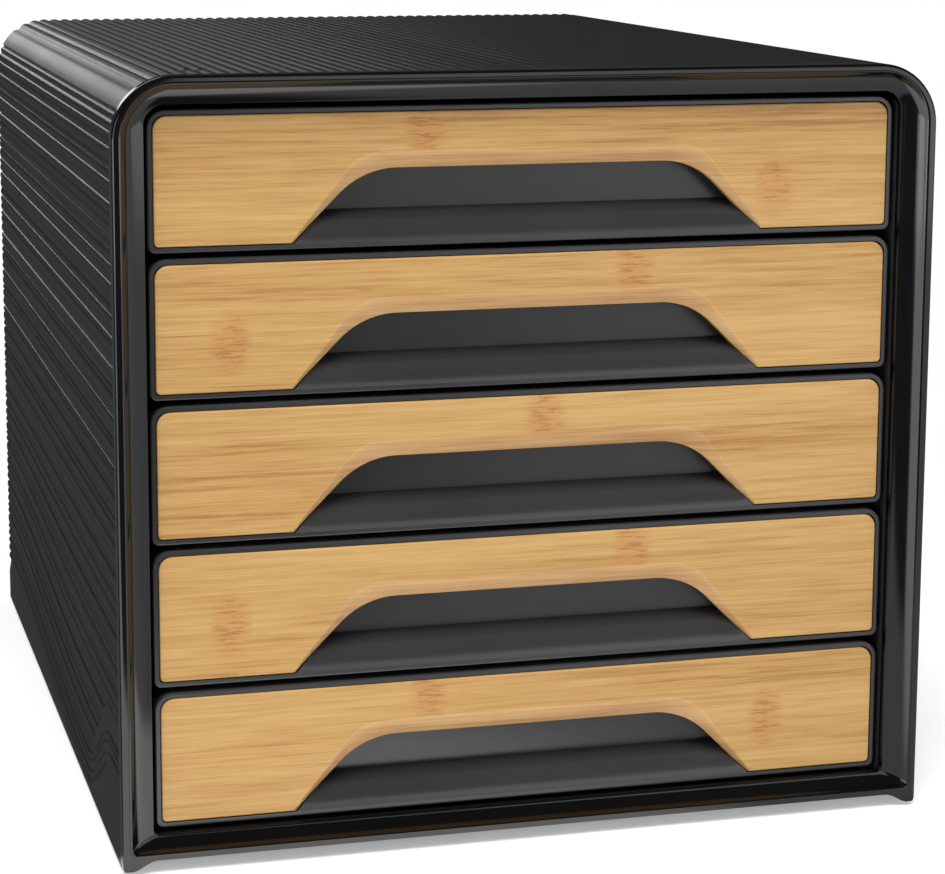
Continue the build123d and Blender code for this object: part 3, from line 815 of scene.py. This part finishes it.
def softbox(name, place, aim, width, height, glow):
    """A rectangular lamp whose face has this brightness, whatever its size."""
    deselect()
    bpy.ops.object.light_add(type="AREA", location=place)
    lamp = bpy.context.object
    lamp.name = name
    lamp.data.shape = "RECTANGLE"
    lamp.data.size = width
    lamp.data.size_y = height
    lamp.data.energy = glow * width * height * pi
    lamp.rotation_euler = (Vector(aim) - Vector(place)).to_track_quat("-Z", "Y").to_euler()
    lamp.visible_camera = False
    return lamp


# Name, place, aim, width, height and brightness of each lamp
FRONT_AIM = (0, -0.17, 0.13)
LAMPS = (
    ("key_above_front", (-0.4, -1.2, 2.3), FRONT_AIM, 1.6, 1.2, 10),
    ("right_front_panel", (1.0, -1.55, 0.33), FRONT_AIM, 2.0, 0.66, 1.5),
    ("left_front_panel", (-1.19, -1.07, 0.3), FRONT_AIM, 0.7, 0.7, 2.6),
    ("rear_left_panel", (-0.38, 2.6, 0.62), (0, 0, 0.2), 0.34, 0.34, 2.4),
    ("rear_high_panel", (-0.35, 2.6, 1.2), (0, 0, 0.25), 0.9, 0.35, 1.2),
)


def lights():
    """All lamps. The key lights the matt surfaces only, and the panels make the highlights."""
    for values in LAMPS:
        lamp = softbox(*values)
        lamp.visible_glossy = not lamp.name.startswith("key")


def camera():
    """The camera that was solved from the photograph."""
    deselect()
    bpy.ops.object.camera_add(location=CAMERA_PLACE)
    lens = bpy.context.object
    lens.name = "photo_camera"
    turn = Matrix.Rotation(CAMERA_YAW, 3, "Z") @ Matrix.Rotation(pi / 2 + CAMERA_PITCH, 3, "X")
    turn = turn @ Matrix.Rotation(CAMERA_ROLL, 3, "Z")
    lens.rotation_euler = turn.to_euler()
    lens.data.sensor_width = SENSOR
    lens.data.lens = FOCAL_PIXELS * SENSOR / IMAGE_WIDTH
    lens.data.shift_x = (IMAGE_WIDTH / 2 - CENTRE_PIXEL[0]) / IMAGE_WIDTH
    lens.data.shift_y = (CENTRE_PIXEL[1] - IMAGE_HEIGHT / 2) / IMAGE_WIDTH
    lens.data.clip_start = 0.05
    bpy.context.scene.camera = lens


# ---- The object ----


def dress(piece, body, node, material):
    """A new piece takes its material, rides on its body and stands for its CAD node."""
    paint(piece, material)
    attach(piece, body)
    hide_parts(node)


dress_cad_nodes()
satin_tones = ((0.009, 0.009, 0.0097), (0.013, 0.013, 0.0138))
satin = moulded_plastic("ribbed_satin_plastic", *satin_tones, 0.27, 0.34, 0.2)
polished_tones = ((0.002, 0.002, 0.0022), (0.003, 0.003, 0.0033))
polished = moulded_plastic("polished_black_plastic", *polished_tones, 0.09, 0.13, 0.03)
dress(sleeve(), "casing", "outer_shell", satin)
dress(front_ring(), "casing", "front_frame", polished)
for number in DRAWERS:
    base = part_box(f"bamboo_front_{number}")[0].z
    knots = [(x * MM, base + z * MM) for x, z in KNOTS[number]]
    wood = bamboo_wood(f"varnished_bamboo_{number}", *WOOD_TONES, knots)
    # the bevel of the cut-out: cut bamboo, made paler as painted reflection of the floor
    cut_wood_painted_reflection = bamboo_wood(f"cut_bamboo_painted_reflection_{number}", *CUT_AND_PAINTED_REFLECTION_TONES, [])
    panel = bamboo_front(number, wood, cut_wood_painted_reflection)
    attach(panel, f"drawer_{number}")
    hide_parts(f"bamboo_front_{number}")
stage()
lights()
camera()

bpy.context.scene.view_settings.view_transform = "Standard"
